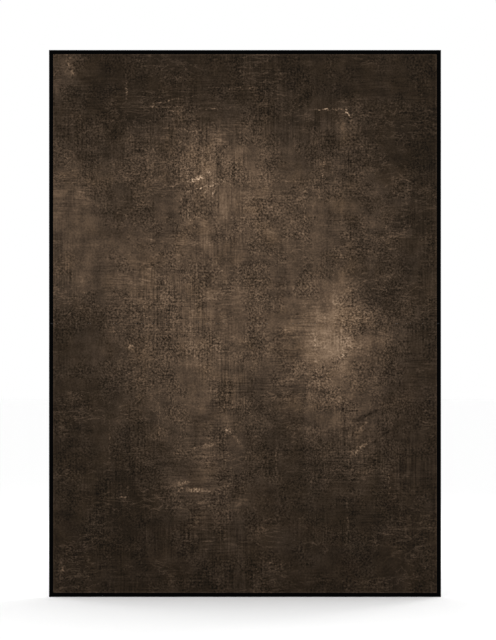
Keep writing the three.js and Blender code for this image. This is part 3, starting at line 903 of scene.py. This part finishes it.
def webbing_material():
    """Black webbing: fine ribs across it, dull, with a little lint."""
    material, n, shader = new_material("black_webbing")
    where = n.flat_places()
    rib = n.add("ShaderNodeTexWave", {"Vector": where, "Scale": 240.0, "Distortion": 0.3})
    yarn = n.noise(n.stretched(where, 900.0, 2600.0), 1.0, 2.0)
    height = n.math("ADD", rib.outputs["Fac"], n.math("MULTIPLY", yarn, 0.4))
    lint = n.between(n.noise(where, 700.0, 3.0, 0.6), 0.55, 0.85)
    shade = n.mix(lint, (0.0008, 0.0008, 0.0009, 1), (0.0032, 0.0031, 0.003, 1))
    n.feed(shader.inputs["Base Color"], shade)
    n.feed(shader.inputs["Normal"], n.bump(height, 0.18 * MM, 0.6))
    shader.inputs["Roughness"].default_value = 0.95
    shader.inputs["Specular IOR Level"].default_value = 0.02
    return material


def thread_material():
    """Black sewing thread, with its ply twisted."""
    material, n, shader = new_material("black_thread")
    where = n.solid_places()
    ply = n.add("ShaderNodeTexWave", {"Vector": where, "Scale": 260.0, "Distortion": 0.6})
    ply.bands_direction = "DIAGONAL"
    shade = n.mix(ply.outputs["Fac"], (0.0012, 0.0012, 0.0012, 1), (0.0045, 0.0045, 0.0045, 1))
    n.feed(shader.inputs["Base Color"], shade)
    n.feed(shader.inputs["Normal"], n.bump(ply.outputs["Fac"], 0.05 * MM, 0.5))
    shader.inputs["Roughness"].default_value = 0.6
    shader.inputs["Specular IOR Level"].default_value = 0.06
    return material


# ---- Hook-and-loop tape ----

TAPE_WIDTH = 14.0 * MM
TAPE_PARTING = 0.04 * MM
TAPE_MARGIN = 6 * MM  # from the ends of a tube
LEAF_MARGIN = 2 * MM  # from a hinge leaf


def tape(name, low, high, material, corner=2.0 * MM, pull=0.25 * MM):
    """A strip of tape between two corners, with its edges pulled in a little. It lies in x and z."""
    low, high = Vector(low), Vector(high)
    round_off = min(corner, (high.x - low.x) / 3, (high.z - low.z) / 3)
    outline = []
    corners = ((high.x, high.z, 0), (low.x, high.z, 1), (low.x, low.z, 2), (high.x, low.z, 3))
    for x, z, quarter in corners:
        cx = x - round_off if quarter in (0, 3) else x + round_off
        cz = z - round_off if quarter in (0, 1) else z + round_off
        for k in range(4):
            turn = math.pi / 2 * (quarter + k / 3)
            outline.append((cx + round_off * math.cos(turn), cz + round_off * math.sin(turn)))
    middle_x, middle_z = (low.x + high.x) / 2, (low.z + high.z) / 2
    build = bmesh.new()
    rings = []
    for depth, inset in ((0.0, pull), (0.3, 0.0), (0.7, 0.0), (1.0, pull)):
        y = low.y + (high.y - low.y) * depth
        ring = []
        for x, z in outline:
            sx = x - math.copysign(inset, x - middle_x)
            sz = z - math.copysign(inset, z - middle_z)
            ring.append(build.verts.new((sx, y, sz)))
        rings.append(ring)
    join_rings(build, rings)
    build.faces.new(rings[0])
    build.faces.new(rings[-1][::-1])
    bmesh.ops.recalc_face_normals(build, faces=build.faces)
    return add_piece(name, built_mesh(name, build), material)


def tape_pair(body, tube, leaf=None):
    """Hook tape on a tube's front. Returns the corners of the loop tape on the cloth before it."""
    low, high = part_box(tube)
    upright = high.z - low.z > high.x - low.x
    middle = (low + high) / 2
    parting = (CLOTH_BACK + TUBE_FRONT) / 2
    if upright:
        z0, z1 = low.z + TAPE_MARGIN, high.z - TAPE_MARGIN
        if leaf:
            leaf_low, leaf_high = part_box(leaf)
            z0 = max(z0, leaf_high.z + LEAF_MARGIN) if leaf_high.z < middle.z else z0
            z1 = min(z1, leaf_low.z - LEAF_MARGIN) if leaf_low.z > middle.z else z1
        x0, x1 = middle.x - TAPE_WIDTH / 2, middle.x + TAPE_WIDTH / 2
    else:
        x0, x1 = low.x + TAPE_MARGIN, high.x - TAPE_MARGIN
        z0, z1 = middle.z - TAPE_WIDTH / 2, middle.z + TAPE_WIDTH / 2
    hook = tape(f"{tube}_hook_tape", (x0, parting + TAPE_PARTING, z0), (x1, TUBE_FRONT, z1), HOOK)
    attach(hook, body)
    return (x0, CLOTH_BACK, z0), (x1, parting - TAPE_PARTING, z1)


def tapes():
    """Hook tape on all eight tubes, and loop tape on the back of the cloth."""
    for half, end in ENDS.items():
        for side in SIDES:
            stile = f"{half}_{side}_stile"
            low, high = tape_pair(stile, f"{stile}_tube", f"{half}_{side}_hinge_leaf")
            loop = tape(f"{half}_{side}_loop_tape", low, high, LOOP)
            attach(loop, stile)
        rails = [tape_pair(f"{end}_{side}_rail", f"{end}_{side}_rail_tube") for side in SIDES]
        low = tuple(map(min, rails[0][0], rails[1][0]))
        high = tuple(map(max, rails[0][1], rails[1][1]))
        loop = tape(f"{end}_loop_tape", low, high, LOOP)
        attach(loop, f"{half}_left_stile")
        gather(loop)


def tape_material(name, scale, height):
    """Hook or loop tape: black nylon with a close nap."""
    material, n, shader = new_material(name)
    where = n.solid_places()
    cells = n.add("ShaderNodeTexVoronoi", {"Vector": where, "Scale": scale}).outputs["Distance"]
    nap = n.mix(cells, (0.014, 0.014, 0.015, 1), (0.004, 0.004, 0.004, 1))
    n.feed(shader.inputs["Base Color"], nap)
    n.feed(shader.inputs["Normal"], n.bump(cells, height, 0.8))
    shader.inputs["Roughness"].default_value = 0.8
    shader.inputs["Specular IOR Level"].default_value = 0.2
    return material


# ---- Rivets ----

RIVET_SIDES = 24
RIVET_SUNK = 0.03 * MM
RIVET_FROM_END = 13 * MM
FORK_PLATE = 1.2 * MM
FORK_RIVETS = (5.0 * MM, 13.0 * MM)  # from the fork's inner end

# Radius and height of a blind rivet's head, from its rim to the stub of its mandrel.
RIVET_PROFILE = [
    (2.60, 0.00),
    (2.60, 0.12),
    (2.42, 0.38),
    (2.00, 0.62),
    (1.50, 0.74),
    (0.95, 0.76),
    (0.86, 0.68),
    (0.84, 0.42),
    (0.60, 0.40),
    (0.30, 0.47),
]


def add_rivet(build, foot, out):
    """A rivet's head on a flat face at foot, pointing out."""
    out = Vector(out)
    side = Vector((0, 0, 1)) if abs(out.z) < 0.5 else Vector((1, 0, 0))
    other = out.cross(side)
    rings = []
    for radius, height in RIVET_PROFILE:
        ring = []
        for k in range(RIVET_SIDES):
            turn = math.tau * k / RIVET_SIDES
            spoke = side * math.cos(turn) + other * math.sin(turn)
            ring.append(build.verts.new(Vector(foot) + (spoke * radius + out * height) * MM))
        rings.append(ring)
    join_rings(build, rings)
    build.faces.new(rings[0][::-1])
    build.faces.new(rings[-1])


def rivets(body, places):
    """All of a body's rivets, as one piece. places holds (foot, out) pairs."""
    build = bmesh.new()
    for foot, out in places:
        add_rivet(build, foot, out)
    bmesh.ops.recalc_face_normals(build, faces=build.faces)
    name = f"{body}_rivets"
    piece = add_piece(name, built_mesh(name, build), RIVET)
    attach(piece, body)


def all_rivets():
    """Two blind rivets through each tube's back, and two through the plate of each corner fork."""
    back = (0.0, 1.0, 0.0)
    for half, up in HALVES.items():
        for side, out in SIDES.items():
            stile = f"{half}_{side}_stile"
            low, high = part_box(f"{stile}_tube")
            x = (low.x + high.x) / 2
            ends = (low.z + RIVET_FROM_END, high.z - RIVET_FROM_END)
            places = [((x, high.y - RIVET_SUNK, z), back) for z in ends]
            low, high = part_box(f"{stile}_corner_fork")
            wall = high.x - FORK_PLATE if out > 0 else low.x + FORK_PLATE
            depth = (low.y + high.y) / 2
            foot_z = low.z if up > 0 else high.z
            inward = (-out, 0.0, 0.0)
            for step in FORK_RIVETS:
                places.append(((wall + out * RIVET_SUNK, depth, foot_z + up * step), inward))
            rivets(stile, places)
            rail = f"{ENDS[half]}_{side}_rail"
            low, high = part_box(f"{rail}_tube")
            z = (low.z + high.z) / 2
            ends = (low.x + RIVET_FROM_END, high.x - RIVET_FROM_END)
            rivets(rail, [((x, high.y - RIVET_SUNK, z), back) for x in ends])


# ---- Finishes of the frame ----


def edge_wear_and_highlight(n, radius, noise_scale, where):
    """1 on the sharp outer edges, broken up by a noise, and 0 elsewhere: where the colour is made paler,
    partly as rubbed wear and partly as a painted highlight.
    """
    soft = n.add("ShaderNodeBevel", {"Radius": radius}, samples=4).outputs["Normal"]
    true = n.add("ShaderNodeNewGeometry").outputs["Normal"]
    bend = n.math("SUBTRACT", 1.0, n.vector("DOT_PRODUCT", soft, true))
    broken = n.between(n.noise(where, noise_scale, 4.0, 0.65, flat=False), 0.45, 0.68)
    return n.math("MULTIPLY", n.between(bend, 0.02, 0.20), broken)


def anodised_material(name, stretch):
    """Black anodised tube: drawn lengthways, satin, and paler on its corners, partly rubbed wear and
    partly a painted highlight.
    """
    material, n, shader = new_material(name)
    where = n.solid_places()
    drawn = n.noise(n.vector("MULTIPLY", where, stretch), 1.0, 3.0, 0.6, flat=False)
    handled = n.noise(where, 14.0, 4.0, 0.6, flat=False)
    # Paler colour on the sharp edges: partly rubbed wear, partly a painted highlight.
    wear_and_highlight = edge_wear_and_highlight(n, 0.7 * MM, 120.0, where)
    tint = n.mix(handled, (0.018, 0.018, 0.0195, 1), (0.034, 0.034, 0.036, 1))
    worn_and_highlighted = n.mix(n.math("MULTIPLY", wear_and_highlight, 0.5), tint, (0.16, 0.16, 0.16, 1))
    n.feed(shader.inputs["Base Color"], worn_and_highlighted)
    rough = n.math("ADD", n.between(handled, 0.3, 0.7, 0.28, 0.40), n.swing(drawn, 0.14))
    n.feed(shader.inputs["Roughness"], rough)
    n.feed(shader.inputs["Normal"], n.bump(drawn, 0.05 * MM, 0.35))
    shader.inputs["Metallic"].default_value = 0.85
    shader.inputs["Specular IOR Level"].default_value = 0.30
    return material


def nylon_material():
    """Black glass-filled nylon: fine spark texture, faint flow marks, and pale on its edges, partly
    rubbed wear and partly a painted highlight.
    """
    material, n, shader = new_material("black_nylon")
    where = n.solid_places()
    spark = n.noise(where, 2200.0, 3.0, 0.6, flat=False)
    flow = n.noise(where, 60.0, 3.0, 0.6, 0.8, flat=False)
    # Paler colour on the sharp edges: partly rubbed wear, partly a painted highlight.
    wear_and_highlight = edge_wear_and_highlight(n, 0.5 * MM, 200.0, where)
    tint = n.mix(flow, (0.0045, 0.0045, 0.005, 1), (0.010, 0.010, 0.0105, 1))
    worn_and_highlighted = n.mix(n.math("MULTIPLY", wear_and_highlight, 0.35), tint, (0.06, 0.06, 0.06, 1))
    n.feed(shader.inputs["Base Color"], worn_and_highlighted)
    n.feed(shader.inputs["Roughness"], n.between(flow, 0.3, 0.7, 0.40, 0.54))
    n.feed(shader.inputs["Normal"], n.bump(spark, 0.06 * MM, 0.4))
    shader.inputs["Specular IOR Level"].default_value = 0.28
    return material


def metal_material(name, dark, light, rough, scale, metallic=1.0):
    """Bare or blackened metal, with fine turning marks and smudges."""
    material, n, shader = new_material(name)
    where = n.solid_places()
    smudge = n.noise(where, scale, 4.0, 0.6, flat=False)
    fine = n.noise(n.vector("MULTIPLY", where, (900.0, 3200.0, 900.0)), 1.0, 2.0, flat=False)
    n.feed(shader.inputs["Base Color"], n.mix(smudge, (*dark, 1), (*light, 1)))
    n.feed(shader.inputs["Roughness"], n.between(smudge, 0.3, 0.7, *rough))
    n.feed(shader.inputs["Normal"], n.bump(fine, 0.02 * MM, 0.3))
    shader.inputs["Metallic"].default_value = metallic
    return material


def soften(piece, width):
    """Joins a CAD node's triangles, rounds its sharp edges and smooths its round faces."""
    for name in ("custom_normal", "sharp_edge", "sharp_face"):
        layer = piece.data.attributes.get(name)
        if layer:
            piece.data.attributes.remove(layer)
    piece.data.shade_smooth()
    piece.modifiers.new("join", "WELD").merge_threshold = 0.005 * MM
    edge = piece.modifiers.new("edges", "BEVEL")
    edge.width = width
    edge.segments = 2
    edge.limit_method = "ANGLE"
    edge.angle_limit = math.radians(48)
    edge.miter_outer = "MITER_ARC"
    piece.modifiers.new("normals", "WEIGHTED_NORMAL").weight = 80


def finish_frame():
    """Each CAD node that still shows gets its finish, by the end of its name."""
    upright = anodised_material("anodised_upright", (700.0, 700.0, 9.0))
    across = anodised_material("anodised_rail", (9.0, 700.0, 700.0))
    nylon = nylon_material()
    steel = metal_material("bright_steel", (0.42, 0.42, 0.43), (0.56, 0.56, 0.57), (0.22, 0.38), 60.0)
    hinge = metal_material(
        "black_hinge_steel", (0.005, 0.005, 0.0055), (0.011, 0.011, 0.012), (0.5, 0.65), 80.0, 0.3
    )
    hinge.node_tree.nodes["Principled BSDF"].inputs["Specular IOR Level"].default_value = 0.2
    magnet = metal_material("nickel_magnet", (0.62, 0.61, 0.59), (0.74, 0.73, 0.71), (0.10, 0.2), 200.0)
    finishes = (
        ("stile_tube", upright, 0.25),
        ("rail_tube", across, 0.25),
        ("hinge_pin", hinge, 0.25),
        ("_pin", steel, 0.25),
        ("_bolt", steel, 0.3),
        ("_striker", steel, 0.2),
        ("_magnet", magnet, 0.2),
        ("hinge_leaf", hinge, 0.2),
        ("", nylon, 0.4),
    )
    for name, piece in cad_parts.items():
        if piece.hide_render:
            continue
        material, width = next((m, w) for ending, m, w in finishes if name.endswith(ending))
        piece.data.materials.clear()
        piece.data.materials.append(material)
        soften(piece, width * MM)


# ---- Everything, in order ----

bpy.context.scene.view_settings.view_transform = "Standard"
floor()
studio()
camera()

PRINT = print_material()
REVERSE = reverse_material()
WEB = webbing_material()
THREAD = thread_material()
HOOK = tape_material("hook_tape", 1400.0, 0.3 * MM)
LOOP = tape_material("loop_tape", 900.0, 0.4 * MM)
RIVET = metal_material("rivet_black", (0.02, 0.02, 0.021), (0.05, 0.05, 0.05), (0.3, 0.42), 90.0, 0.8)

for half_name in HALVES:
    trim = end_binding(half_name)
    for side_name in SIDES:
        trim += side_binding(half_name, side_name)
    cloth(half_name)
tapes()
all_rivets()
finish_frame()
